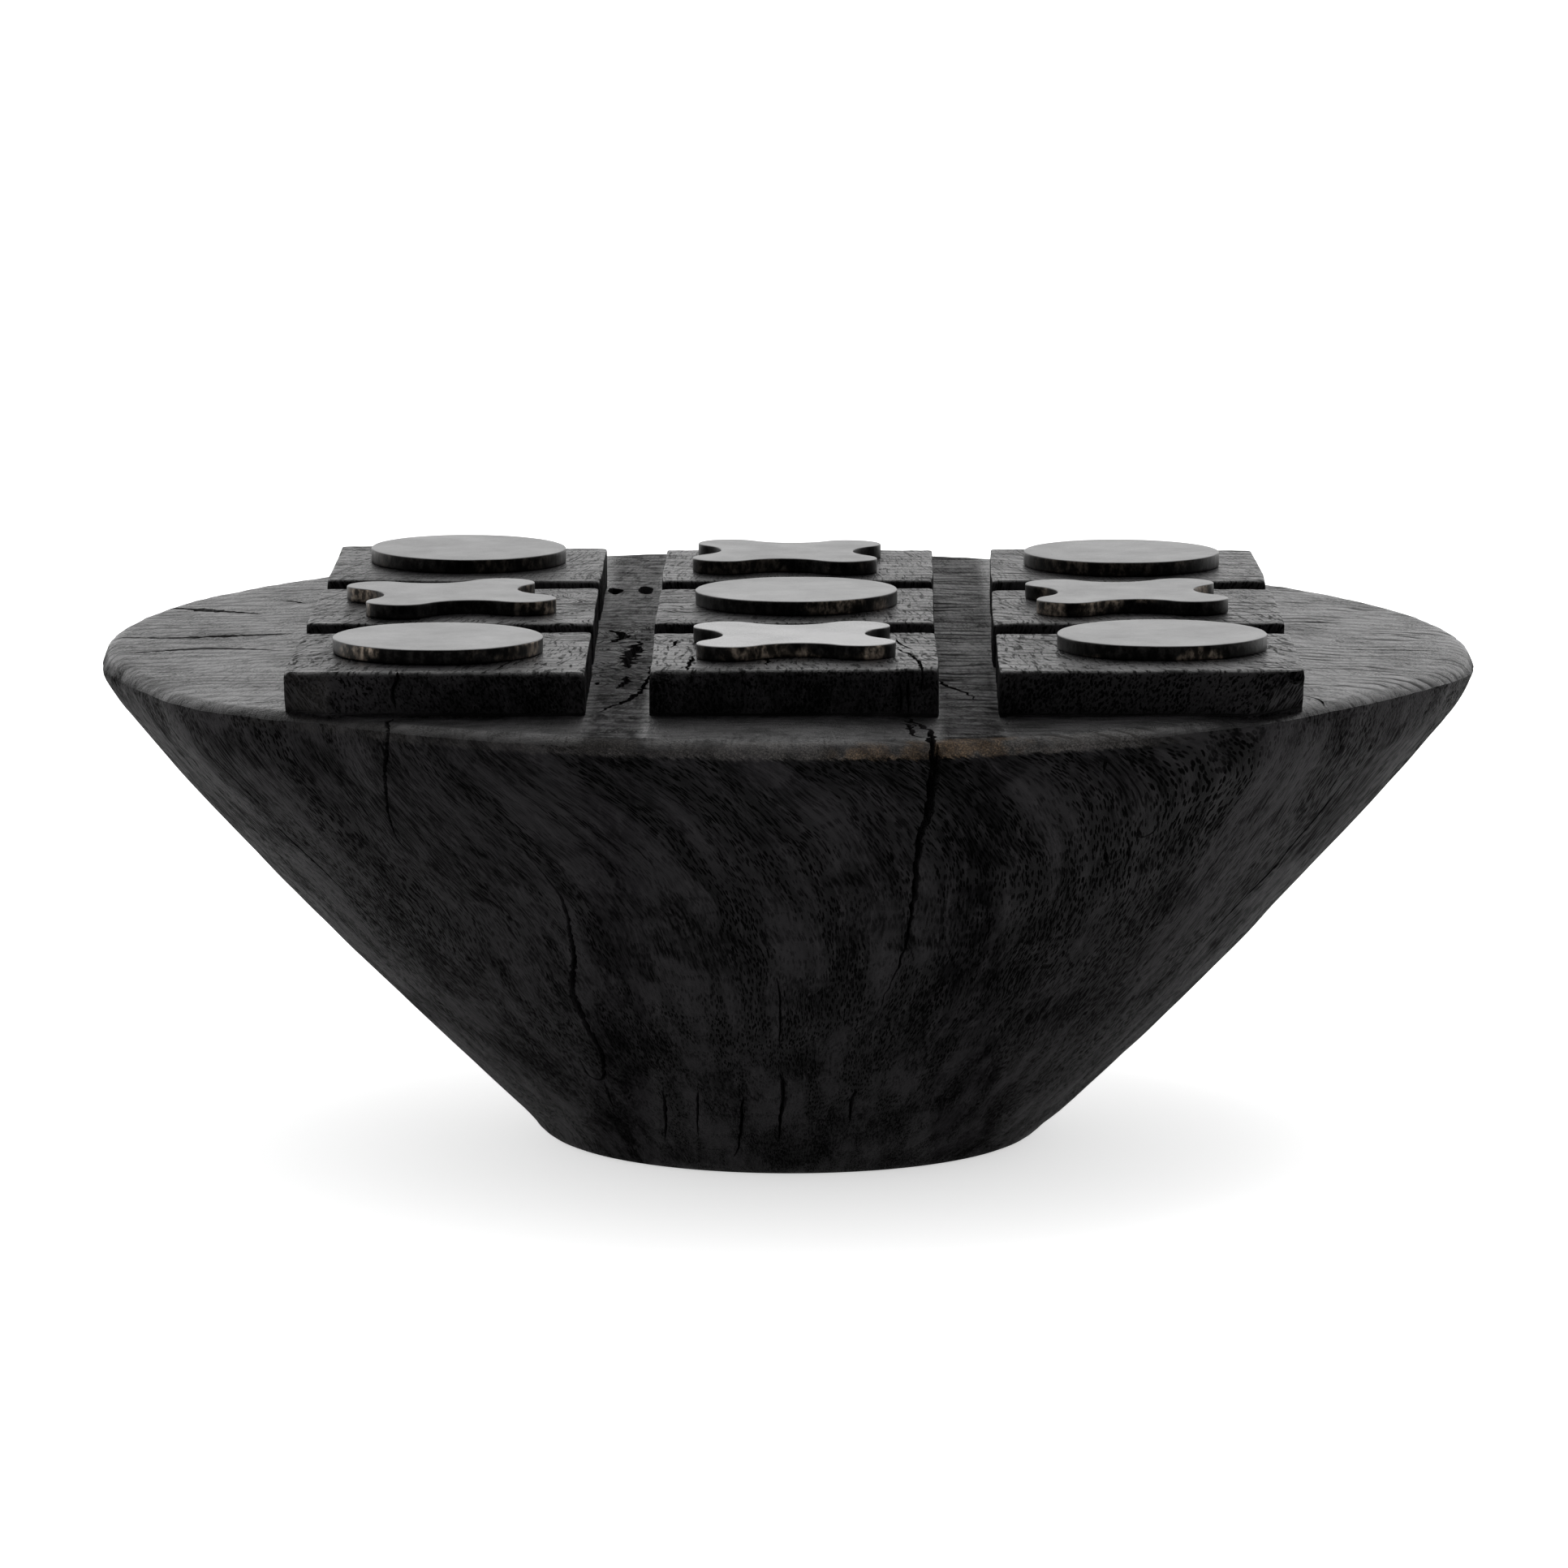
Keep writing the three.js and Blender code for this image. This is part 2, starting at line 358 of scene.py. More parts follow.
def grid_line(low, high, edge_steps, spacing):
    """Positions from low to high, close together near both ends."""
    inner_low, inner_high = low + edge_steps[-1], high - edge_steps[-1]
    count = max(2, round((inner_high - inner_low) / spacing))
    painted_front_sheen = np.linspace(inner_low, inner_high, count + 1)[1:-1]
    near = np.array(edge_steps)
    return np.concatenate([low + near, painted_front_sheen, (high - near)[::-1]])


def box_grid(xs, ys, zs):
    """Points and faces of a closed box whose six sides are grids."""
    index = {}
    points = []
    faces = []

    def point(i, j, k):
        key = (i, j, k)
        if key not in index:
            index[key] = len(points)
            points.append((xs[i], ys[j], zs[k]))
        return index[key]

    last_x, last_y, last_z = len(xs) - 1, len(ys) - 1, len(zs) - 1

    def pair(square, near, far):
        """Two facing squares of the grid, with the far one turned round."""
        faces.append([point(*near(*corner)) for corner in square])
        faces.append([point(*far(*square[k])) for k in (0, 3, 2, 1)])

    for i in range(last_x):
        for j in range(last_y):
            square = [(i, j), (i, j + 1), (i + 1, j + 1), (i + 1, j)]
            pair(square, lambda a, b: (a, b, 0), lambda a, b: (a, b, last_z))
    for k in range(last_z):
        for i in range(last_x):
            square = [(i, k), (i + 1, k), (i + 1, k + 1), (i, k + 1)]
            pair(square, lambda a, b: (a, 0, b), lambda a, b: (a, last_y, b))
        for j in range(last_y):
            square = [(j, k), (j, k + 1), (j + 1, k + 1), (j + 1, k)]
            pair(square, lambda a, b: (0, a, b), lambda a, b: (last_x, a, b))
    return np.array(points), faces


def round_pad(points, low, high, corner, edge):
    """Rounds a box's upright corners in plan, then its top edge, by radii given for each point."""
    walls = [points[:, 0] - low[0], high[0] - points[:, 0], points[:, 1] - low[1], high[1] - points[:, 1]]
    inset = np.minimum.reduce(walls)
    depth = high[2] - points[:, 2]
    inner = np.clip(points[:, :2], low[:2] + corner[:, None], high[:2] - corner[:, None])
    away = points[:, :2] - inner
    outward = away / np.maximum(np.linalg.norm(away, axis=1), 1e-9)[:, None]
    points[:, :2] = inner + outward * np.abs(away).max(axis=1)[:, None]
    over = np.clip(edge - inset, 0, None)
    above = np.clip(edge - depth, 0, None)
    scale = np.maximum(over, above) / np.maximum(np.hypot(over, above), 1e-9)
    points[:, :2] -= outward * (over * (1 - scale))[:, None]
    points[:, 2] -= above * (1 - scale)
    return outward, inset


def pad_rise(column, row, points):
    """How far a pad's top stands above its level, at each of the points."""
    (x0, x1), (y0, y1) = COLUMNS[column], ROWS[row]
    right = np.clip((points[:, 0] - x0) / (x1 - x0), 0, 1)
    back = np.clip((points[:, 1] - y0) / (y1 - y0), 0, 1)
    front_left, front_right, back_left, back_right = PAD_RISES[(column, row)]
    front = front_left * (1 - right) + front_right * right
    return front * (1 - back) + (back_left * (1 - right) + back_right * right) * back


def pad_points(column, row):
    """One raised pad, with worn edges, a slightly uneven top and sawn sides."""
    (x0, x1), (y0, y1) = COLUMNS[column], ROWS[row]
    low = np.array([x0, y0, PLATE_HEIGHT - PAD_ROOT])
    high = np.array([x1, y1, PAD_TOP])
    edge = [0.0, 0.3, 0.8, 1.4, 2.2, 3.2]
    xs = grid_line(x0, x1, edge, 2.7)
    ys = grid_line(y0, y1, edge, 2.7)
    heights = [low[2], PLATE_HEIGHT - 1.5, PLATE_HEIGHT + 0.6, PLATE_HEIGHT + 2.6, PLATE_HEIGHT + 4.8]
    zs = np.concatenate([heights, (high[2] - np.array(edge))[::-1]])
    points, faces = box_grid(xs, ys, zs)
    corner = np.full(len(points), PAD_CORNER)
    in_front = ease(y0 + 8, y0 + 1, points[:, 1])
    worn = 0.62 + in_front * (FRONT_WEAR[row] - 0.62)
    worn *= 1 + 0.30 * smooth_noise(points, 14.0, 31) + 0.22 * smooth_noise(points, 5.0, 37)
    if (column, row) == (1, 0):
        worn += 0.9 * ease(-5, -33, points[:, 0]) * in_front
    outward, inset = round_pad(points, low, high, corner, worn)
    top = ease(high[2] - 1.6, high[2] - 0.4, points[:, 2])
    side = 1 - top
    right = (points[:, 0] - x0) / (x1 - x0)
    points[:, 2] += top * pad_rise(column, row, points)
    calm = 0.5 if row == 0 else 0.8
    dents = 0.12 + 0.20 * layered_noise(points, 16.0, 41, 2) - 0.12 * ease(7, 0, inset)
    points[:, 2] -= top * calm * dents
    points[:, 2] += top * 0.07 * smooth_noise(points, 2.6, 43)
    upright = np.stack([points[:, 0], points[:, 1], points[:, 2] * 0.15], axis=1)
    wobble = 0.32 * smooth_noise(points, 26.0, 47) + side * 0.15 * layered_noise(upright, 3.6, 53, 2)
    near_wall = ease(3.0, 0.4, inset)
    points[:, :2] += outward * (near_wall * wobble)[:, None]
    drift_y = (ROWS[0][0], 0.5 * (ROWS[0][0] + ROWS[2][1]), ROWS[2][1])
    left_drift = np.interp(points[:, 1], drift_y, EDGE_DRIFT[column][0])
    right_drift = np.interp(points[:, 1], drift_y, EDGE_DRIFT[column][1])
    points[:, 0] += left_drift * (1 - right) + right_drift * right
    return points, faces


def trim_cone():
    """The block's old cone, carried on above the plate."""
    rings = []
    for height in np.arange(PLATE_HEIGHT - PAD_ROOT - 1.0, PAD_TOP + 2.0, 2.0):
        azimuth = np.arange(360) * 2 * pi / 360
        around = np.where(azimuth > pi, azimuth - 2 * pi, azimuth)
        bulge = 1.5 * np.maximum(outline_bulge(around), 0)
        radius = PLATE_RADIUS + bulge + TRIM_SLOPE * (height - PLATE_HEIGHT)
        ring = np.stack([radius * np.sin(azimuth), -radius * np.cos(azimuth), np.full(360, height)], axis=1)
        ring[:, :2] *= 1 + 0.0016 * layered_noise(ring, 7.0, 59, 2)[:, None]
        rings.append(ring)
    return make_object("trim_cone", *rings_mesh(rings))


def merged(name, parts):
    """One object from several closed shells that don't touch."""
    all_points, all_faces, offset = [], [], 0
    for points, faces in parts:
        all_points.append(points)
        all_faces += [[i + offset for i in face] for face in faces]
        offset += len(points)
    return make_object(name, np.vstack(all_points), all_faces)


def shaped_pads():
    trimmed = merged("front_corner_pads", [pad_points(0, 0), pad_points(2, 0)])
    combine(trimmed, trim_cone(), "INTERSECT")
    whole = [(c, r) for r in range(3) for c in range(3) if (c, r) not in ((0, 0), (2, 0))]
    rest = merged("pads", [pad_points(c, r) for c, r in whole])
    return [trimmed, rest]


# ---- Cracks, knots and chips ----


def on_side(azimuth, height):
    """A point on the block's side, and its outward normal. Azimuth is in degrees, from the front to +X."""
    a = radians(azimuth)
    swell = side_swell(sin(a), height)
    if height < SHOULDER_HEIGHT:
        radius = side_radius(max(height, BASE_ROUNDING))
        slope = side_radius(max(height, BASE_ROUNDING) + 1) - radius
    else:
        t = min(1.0, (height - SHOULDER_HEIGHT) / (RIM_HEIGHT - SHOULDER_HEIGHT))
        radius = SHOULDER_RADIUS + (RIM_RADIUS - SHOULDER_RADIUS) * (1.42 * t - 0.42 * t * t)
        slope = 0.7 * (1 - t)
    outward = Vector((sin(a), -cos(a), 0))
    point = outward * (radius + swell) + Vector((0, 0, height))
    return point, (outward - Vector((0, 0, slope))).normalized()


def on_plate(x, y):
    return Vector((x, y, PLATE_HEIGHT)), Vector((0, 0, 1))


def on_pad(x, y):
    return Vector((x, y, PAD_TOP - 0.3)), Vector((0, 0, 1))


def on_front(x, height, row=0):
    """A point on the front face of a row of pads."""
    return Vector((x, ROWS[row][0], height)), Vector((0, -1, 0))


def crack(path, width, depth, seed, ragged=0.35, blunt=0.35, taper=0.5):
    """A closed wedge along a path over the surface: a drying check once it is cut away.

    It runs out at both ends. blunt says where it is widest, and taper how fast it closes after that.
    """
    rng = np.random.default_rng(seed)
    points = [p for p, _ in path]
    normals = [n for _, n in path]
    lengths = [0.0]
    for a, b in zip(points, points[1:]):
        lengths.append(lengths[-1] + (b - a).length)
    total = lengths[-1]
    steps = max(4, int(total / 1.3))
    spots, ups = [], []
    for s in np.linspace(0, total, steps + 1):
        k = min(len(lengths) - 2, max(0, int(np.searchsorted(lengths, s, side="right")) - 1))
        t = (s - lengths[k]) / max(lengths[k + 1] - lengths[k], 1e-6)
        spots.append(curve_point(points, k, t))
        ups.append(normals[k].lerp(normals[k + 1], t).normalized())
    jitter = rng.normal(0, 1, (steps + 1, 3))
    drift = np.convolve(jitter[:, 0], [0.25, 0.5, 0.25], mode="same")
    rings = []
    for i, (spot, up) in enumerate(zip(spots, ups)):
        along = (spots[min(i + 1, steps)] - spots[max(i - 1, 0)]).normalized()
        across = along.cross(up).normalized()
        t = i / steps
        opening = min(1.0, (t / blunt) ** 0.6, ((1 - t) / (1 - blunt)) ** taper) if 0 < t < 1 else 0.0
        half = 0.5 * width * opening * (1 + 0.22 * jitter[i, 1]) + 0.02
        deep = depth * (0.25 + 0.75 * opening) * (1 + 0.15 * jitter[i, 2])
        painted_front_sheen = spot + across * (ragged * drift[i])
        lift = 2.0
        flare = half * (1 + lift / max(deep, 1.0))
        rings.append([
            painted_front_sheen + up * lift - across * flare,
            painted_front_sheen + up * lift + across * flare,
            painted_front_sheen - up * (0.55 * deep) + across * (0.5 * half),
            painted_front_sheen - up * deep,
            painted_front_sheen - up * (0.55 * deep) - across * (0.5 * half),
        ])
    return tube_mesh(rings)


def curve_point(points, k, t):
    """A point on the smooth curve through the points, between points k and k + 1."""
    p1, p2 = points[k], points[k + 1]
    p0 = points[k - 1] if k > 0 else p1 + (p1 - p2)
    p3 = points[k + 2] if k + 2 < len(points) else p2 + (p2 - p1)
    return 0.5 * (
        2 * p1 + (p2 - p0) * t + (2 * p0 - 5 * p1 + 4 * p2 - p3) * t**2 + (3 * p1 - p0 - 3 * p2 + p3) * t**3
    )


def tube_mesh(rings):
    """Points and faces of a closed tube of rings, closed by flat ends."""
    count = len(rings[0])
    points = np.array([tuple(p) for ring in rings for p in ring])
    faces = []
    for i in range(len(rings) - 1):
        for j in range(count):
            k = (j + 1) % count
            a, b = i * count, (i + 1) * count
            faces.append((a + j, a + k, b + k, b + j))
    faces.append(tuple(reversed(range(count))))
    last = (len(rings) - 1) * count
    faces.append(tuple(last + j for j in range(count)))
    return points, faces


def pit(place, size, seed):
    """A lumpy ball about (x, y, z) size across, cut away for a chip or a knot hole."""
    turn = np.arange(16) * 2 * pi / 16
    rings = []
    for polar in np.linspace(0, pi, 9)[1:-1]:
        x, y = np.sin(polar) * np.cos(turn), np.sin(polar) * np.sin(turn)
        rings.append(np.stack([x, y, np.full(16, -np.cos(polar))], axis=1))
    points, faces = rings_mesh(rings)
    points *= (1 + 0.28 * smooth_noise(points + seed, 0.8, seed))[:, None]
    return points * (0.5 * np.array(size)) + np.array(place), faces


def over(place, *spots):
    """A path of spots, placed by one of the functions above."""
    return [place(*spot) for spot in spots]


def front_cracks():
    """The cracks and knots seen from the player's side, in two groups, each cut away in one go."""
    # Each row: the path, width, depth, the seed of its wander, and how ragged, blunt and tapered it is.
    checks = [
        (over(on_plate, (36.6, -170), (37.3, -180), (37.8, -186.8)) + over(on_side, (11.5, 135.5),
         (11.5, 127), (11.7, 117), (11.4, 110), (11.6, 103), (12.2, 90), (12.5, 80), (12.2, 68),
         (11, 52)), 2.9, 9.0, 1, 0.35, 0.12, 1.0),
        (over(on_plate, (-103.6, -147)) + over(on_side, (-33.1, 136.5), (-33.3, 133.5), (-33.8, 129),
         (-34.9, 122.5), (-35.5, 119), (-37, 111), (-38, 103), (-37, 97)), 1.5, 5.0, 2, 0.15, 0.2),
        (over(on_side, (-23.8, 101), (-23, 95), (-22.6, 90), (-22.8, 84), (-23.4, 78), (-24.4, 70),
         (-26.8, 60), (-27.4, 54), (-27.8, 45), (-28, 39), (-29.6, 33), (-31.6, 29.3), (-33.4, 31),
         (-32.8, 37)), 1.9, 5.0, 3, 0.15, 0.55),
        (over(on_side, (45.2, 107), (45.5, 99), (45.6, 90), (46, 80)), 0.7, 2.0, 4),
        (over(on_side, (46.8, 122), (47.5, 114), (47.6, 109)), 0.8, 2.0, 5),
        (over(on_side, (32, 112), (32.4, 107), (33.4, 105.4), (34.2, 107.4), (33.6, 112.6)), 0.9, 2.4, 6,
         0.15, 0.4),
        (over(on_side, (29.7, 103), (30.4, 100), (31.4, 97.4), (32.4, 99.5)), 1.5, 2.5, 7, 0.3),
        (over(on_side, (31.9, 104.5), (33.0, 100), (33.4, 96)), 1.2, 2.4, 8, 0.2),
        (over(on_side, (35.9, 113), (35.9, 107)), 0.9, 2.0, 9, 0.1),
        (over(on_side, (25.7, 132), (25.9, 126.5)), 1.0, 2.0, 10, 0.1),
        (over(on_side, (-30.8, 81), (-30.7, 77), (-30.6, 73)), 0.8, 1.8, 11, 0.1),
        (over(on_side, (-31, 29), (-33, 20)), 0.8, 2.0, 12, 0.1),
        (over(on_side, (-20.6, 28), (-22.2, 20), (-25.6, 10)), 1.0, 2.6, 13, 0.2),
        (over(on_side, (-14.6, 29), (-18, 12)), 0.7, 2.0, 14, 0.15),
        (over(on_side, (-7.4, 27), (-8.6, 17), (-10.4, 8.5), (-12, 5.5)), 1.0, 2.6, 15, 0.2),
        (over(on_side, (-1.2, 67), (-0.9, 57), (-1.1, 44)), 0.6, 1.6, 16, 0.15),
        (over(on_side, (-1.4, 36), (-0.7, 28.5), (-1.4, 20), (-1.8, 12.5)), 1.5, 3.2, 17, 0.25),
        (over(on_side, (10.6, 29.5), (10.5, 24), (11.1, 18)), 1.1, 2.4, 18, 0.15),
        (over(on_pad, (28.9, -81), (30.6, -93), (33.4, -103)), 0.6, 1.6, 19, 0.2),
        (over(on_pad, (27.5, -97), (31, -108), (33.8, -122), (35, -137), (35.6, -144.2)) + over(on_front,
         (35.6, 147.5), (35.2, 143)), 0.9, 3.0, 20, 0.3),
        (over(on_pad, (-25.2, -114), (-25.9, -130), (-26.5, -143)), 1.0, 2.0, 21, 0.4),
        (over(on_pad, (-5.6, -117), (-5.3, -134)), 0.8, 1.6, 22, 0.4),
        (over(on_pad, (-30.2, -80), (-31.2, -96)), 0.8, 1.6, 23, 0.3),
        (over(on_pad, (122, -92), (128, -96.5), (134.8, -104)), 0.6, 2.2, 24, 0.15),
        (over(on_pad, (-102.6, -143.4)) + over(on_front, (-102.6, 147.2), (-103.4, 143.6), (-102.8, 140)),
         1.3, 2.6, 25, 0.3, 0.3),
        (over(on_pad, (-77, -139), (-73, -122)), 0.6, 1.4, 26, 0.3),
        (over(on_plate, (39.4, -74), (41.8, -86), (44, -92), (46.6, -99), (50.2, -114)), 1.3, 3.4, 27,
         0.5, 0.3),
        (over(on_plate, (-50.4, -140), (-47, -127), (-44.2, -121), (-41.6, -107), (-39.4, -94),
         (-38.2, -76), (-38, -52)), 1.7, 4.0, 28, 0.6, 0.4),
        (over(on_plate, (-42.3, -2), (-42.6, -15), (-44, -34), (-44, -56)), 4.2, 4.4, 29, 0.9, 0.6),
        (over(on_plate, (-44, -68), (-44.4, -80), (-46, -92)), 2.4, 3.0, 30, 0.7, 0.5),
        (over(on_plate, (-51.5, 20), (-47, 8), (-50.2, -6)), 3.0, 3.0, 31, 1.0, 0.5),
        (over(on_plate, (-143, -120), (-139, -119), (-132, -116)), 0.8, 1.6, 32, 0.4),
        (over(on_plate, (137, -106), (141, -112), (143, -121)), 0.9, 1.8, 33, 0.4),
        (over(on_front, (31.8, 148), (31.5, 143), (31.9, 139)), 1.0, 2.0, 34, 0.2),
    ]
    branches = [
        (over(on_plate, (31.5, -145.6), (33, -152), (35, -163), (37.6, -170), (37.6, -180)), 1.9, 3.8, 41,
         0.7),
        (over(on_plate, (29.6, -153), (31.6, -159), (32.4, -168), (33.2, -178), (37, -185)), 1.7, 3.4, 42,
         0.8),
        (over(on_plate, (29.8, -150), (33.6, -158), (31.4, -164)), 1.0, 2.4, 43, 0.5),
        (over(on_front, (29.6, 147.5), (29.8, 142), (29.4, 138.6)), 0.8, 1.8, 44, 0.2),
    ]
    pits = [
        ((134.6, -143.4, 148.2), (6.5, 5.5, 4.5), 45),
        ((-129.6, -144.4, 141.0), (2.8, 2.4, 4.2), 46),
        ((-130.2, -142.6, 147.0), (2.4, 2.6, 3.2), 47),
        ((-51.5, 101.0, 139.4), (4.6, 17.0, 13.0), 48),
        ((-42.6, 105.0, 139.4), (5.0, 21.0, 14.0), 49),
        ((-51.8, -81.5, 138.0), (1.6, 5.0, 2.0), 50),
    ]
    ring_lines = [
        (over(on_plate, (-189, 0.4), (-173.3, 0.5), (-154.8, 5.2), (-139.4, 10)), 1.6, 0.8, 51, 0.1, 0.5),
        (over(on_plate, (-187, -29.6), (-165.4, -20.3), (-150.5, -20.2), (-140, -23)), 1.6, 0.8, 52, 0.1,
         0.5),
        (over(on_plate, (-180.5, 60.2), (-167.2, 55.4), (-151.4, 48.2)), 1.6, 1.2, 53, 0.1, 0.5),
        (over(on_plate, (142, -4.8), (159.8, -13.9), (180, -18)), 1.6, 0.8, 54, 0.1, 0.5),
        (over(on_plate, (143, 41.1), (158.2, 41.2)), 1.4, 0.8, 55, 0.1, 0.5),
    ]
    first = [crack(*row) for row in checks]
    second = [crack(*row) for row in branches] + [pit(*row) for row in pits]
    second += [crack(*row) for row in ring_lines]
    return first, second


def round_cracks():
    """Drying checks on the sides and back, like those in front, spread by a fixed draw."""
    rng = np.random.default_rng(77)
    made = []
    azimuth = 60.0
    while azimuth < 318:
        top = rng.uniform(60, 133)
        bottom = max(8.0, top - rng.uniform(25, 75))
        lean = rng.uniform(-5, 5)
        path = []
        for t in np.linspace(0, 1, 6):
            wander = rng.uniform(-0.7, 0.7)
            path.append(on_side(azimuth + lean * t + wander, top + (bottom - top) * t))
        width, depth = rng.uniform(0.7, 2.0), rng.uniform(2.5, 6.0)
        made.append(crack(path, width, depth, int(rng.integers(1000)), 0.25, 0.25))
        azimuth += rng.uniform(11, 24)
    on_top = [(-20, 150, 6, 30), (95, 132, 22, 20), (-140, 70, -22, 14), (160, 20, 20, -6)]
    for x, y, reach_x, reach_y in on_top:
        steps = np.linspace(0, 1, 5)
        path = [on_plate(x + reach_x * t + rng.uniform(-1, 1), y + reach_y * t) for t in steps]
        made.append(crack(path, rng.uniform(0.8, 1.5), 3.0, int(rng.integers(1000)), 0.5, 0.4))
    return made


def make_board():
    board = shaped_block()
    for pads in shaped_pads():
        combine(board, pads, "UNION")
    first, second = front_cracks()
    combine(board, merged("cracks", first), "DIFFERENCE")
    combine(board, merged("cracks", second), "DIFFERENCE")
    combine(board, merged("cracks", round_cracks()), "DIFFERENCE")
    smooth_shade(board, 38)
    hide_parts("board")
    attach(board, "board")
    return board


# ---- The loose pieces ----


def nought_outline(radius):
    turn = np.arange(144) * 2 * pi / 144
    return radius * np.stack([np.cos(turn), np.sin(turn)], axis=1)


def cross_outline():
    """Four round lobes joined by hollow arcs that touch them smoothly."""
    lobe = CROSS_WIDTH / 2 - LOBE_RADIUS
    centres = (lobe * lobe + NOTCH_DEPTH * NOTCH_DEPTH) / (2 * NOTCH_DEPTH)
    hollow = lobe + centres - NOTCH_DEPTH
    touch = atan2(hollow - lobe, lobe)
    parts = []

    def arc(cx, cy, radius, start, stop, steps):
        angle = start + (stop - start) * np.arange(steps) / steps
        parts.append(np.stack([cx + radius * np.cos(angle), cy + radius * np.sin(angle)], axis=1))

    for quarter in range(4):
        turn = quarter * pi / 2
        diagonal = turn - pi / 4
        reach = lobe * sqrt(2)
        lobe_place = (reach * cos(diagonal), reach * sin(diagonal))
        arc(*lobe_place, LOBE_RADIUS, turn - pi + touch, turn + pi / 2 - touch, 30)
        hollow_place = (hollow * cos(turn), hollow * sin(turn))
        arc(*hollow_place, centres - LOBE_RADIUS, turn - pi / 2 - touch, turn - 1.5 * pi + touch, 18)
    return np.vstack(parts)


def inset_outline(outline, distance):
    """The outline moved inward by a distance, along its normals."""
    along = np.roll(outline, -1, axis=0) - np.roll(outline, 1, axis=0)
    along /= np.linalg.norm(along, axis=1)[:, None]
    inward = np.stack([-along[:, 1], along[:, 0]], axis=1)
    return outline + inward * distance


def make_piece(node, outline, seed):
    """A piece of thick plate with worn edges and faint cutting marks, in the place of its CAD node."""
    low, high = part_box(node)
    centre = (low + high) * (0.5 / MM)
    bottom, top = low.z / MM, high.z / MM
    worn = PIECE_WEAR
    rings = []

    def ring(line, height):
        rings.append(np.column_stack([line, np.full(len(line), height)]))

    for scale in (0.25, 0.55, 0.8, 0.94):
        ring(inset_outline(outline, worn) * scale, bottom)
    for turn in np.linspace(0, pi / 2, 4):
        ring(inset_outline(outline, worn * (1 - sin(turn))), bottom + worn * (1 - cos(turn)))
    for share in (0.2, 0.4, 0.6, 0.8):
        ring(outline, bottom + worn + (top - bottom - 2 * worn) * share)
    for turn in np.linspace(0, pi / 2, 5):
        ring(inset_outline(outline, worn * (1 - cos(turn))), top - worn * (1 - sin(turn)))
    for scale in (0.94, 0.82, 0.66, 0.48, 0.3, 0.14):
        ring(inset_outline(outline, worn) * scale, top)
    points, faces = rings_mesh(rings)
    turn = radians(CROSS_TURNS.get(node, 0.0))
    turned = points[:, :2] @ np.array([[cos(turn), sin(turn)], [-sin(turn), cos(turn)]])
    points[:, :2] = turned + np.array(centre[:2])
    away = turned / np.maximum(np.linalg.norm(turned, axis=1), 1)[:, None]
    reach = np.linalg.norm(turned, axis=1) / np.linalg.norm(turned, axis=1).max()
    upright = np.stack([points[:, 0], points[:, 1], points[:, 2] * 0.1], axis=1)
    wall = ease(0.35, 0.6, reach)
    cut = 0.10 * smooth_noise(points, 9.0, seed) + 0.05 * smooth_noise(upright, 1.3, seed)
    points[:, :2] += away * (wall * cut)[:, None]
    points[:, 2] += 0.03 * smooth_noise(points, 7.0, seed + 1) - 0.03
    column = int(np.argmin([abs(0.5 * sum(band) - centre[0]) for band in COLUMNS]))
    row = int(np.argmin([abs(0.5 * sum(band) - centre[1]) for band in ROWS]))
    points[:, 2] += np.maximum(pad_rise(column, row, points) - 0.35, 0)
    piece = make_object(node + "_plate", points, faces)
    smooth_shade(piece, 45)
    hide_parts(node)
    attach(piece, node)
    return piece


def make_pieces():
    pieces = []
    for number, node in enumerate(NOUGHTS):
        low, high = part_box(node)
        radius = 0.5 * (high.x - low.x) / MM - 0.15
        pieces.append(make_piece(node, nought_outline(radius), 100 + number))
    for number, node in enumerate(CROSS_TURNS):
        pieces.append(make_piece(node, cross_outline(), 200 + number))
    return pieces


# ---- Materials ----


